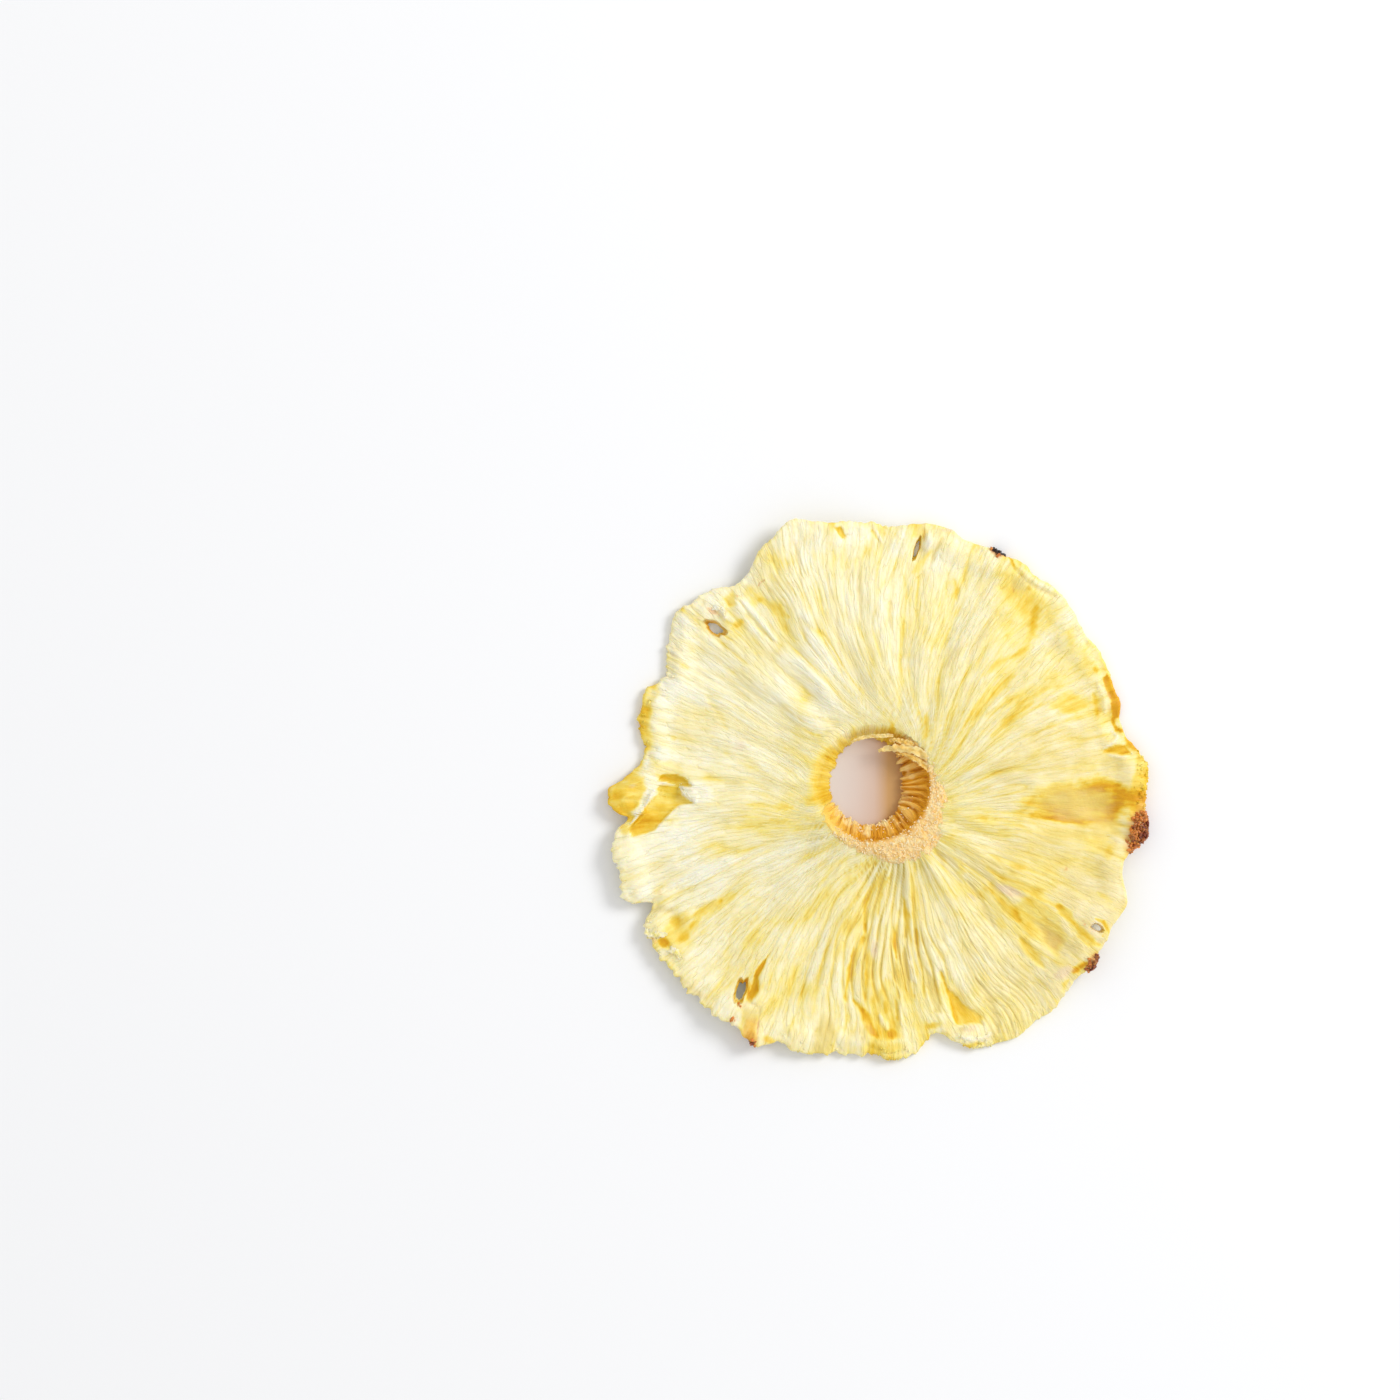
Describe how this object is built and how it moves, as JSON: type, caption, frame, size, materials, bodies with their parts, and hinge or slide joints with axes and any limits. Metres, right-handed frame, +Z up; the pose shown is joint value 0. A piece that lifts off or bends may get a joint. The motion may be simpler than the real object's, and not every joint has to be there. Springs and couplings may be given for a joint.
{
  "type": "dried pineapple ring",
  "caption": "Thin leathery ring of dried pineapple with a wavy ragged rim, radial fibres, sunken eyes and a raised core collar round its open centre.",
  "frame": {"origin": "on the surface that the ring lies on, under the middle of its bounding box", "axes": "+Z up, out of the side that shows; +Y towards the flattest stretch of the rim; +X towards the browned lump, so the core's axis stands a little left of the origin"},
  "size_m": [0.084, 0.0842, 0.0044],
  "materials": {
    "flesh": "pale cream-yellow dried flesh, satin, with deeper yellow valleys between the fibres",
    "core": "tan, granular dried core, matte",
    "browned": "hard browned tips of the eyes, matte to satin"
  },
  "bodies": {
    "root": {"pineapple_ring": "flesh"}
  },
  "joints": []
}
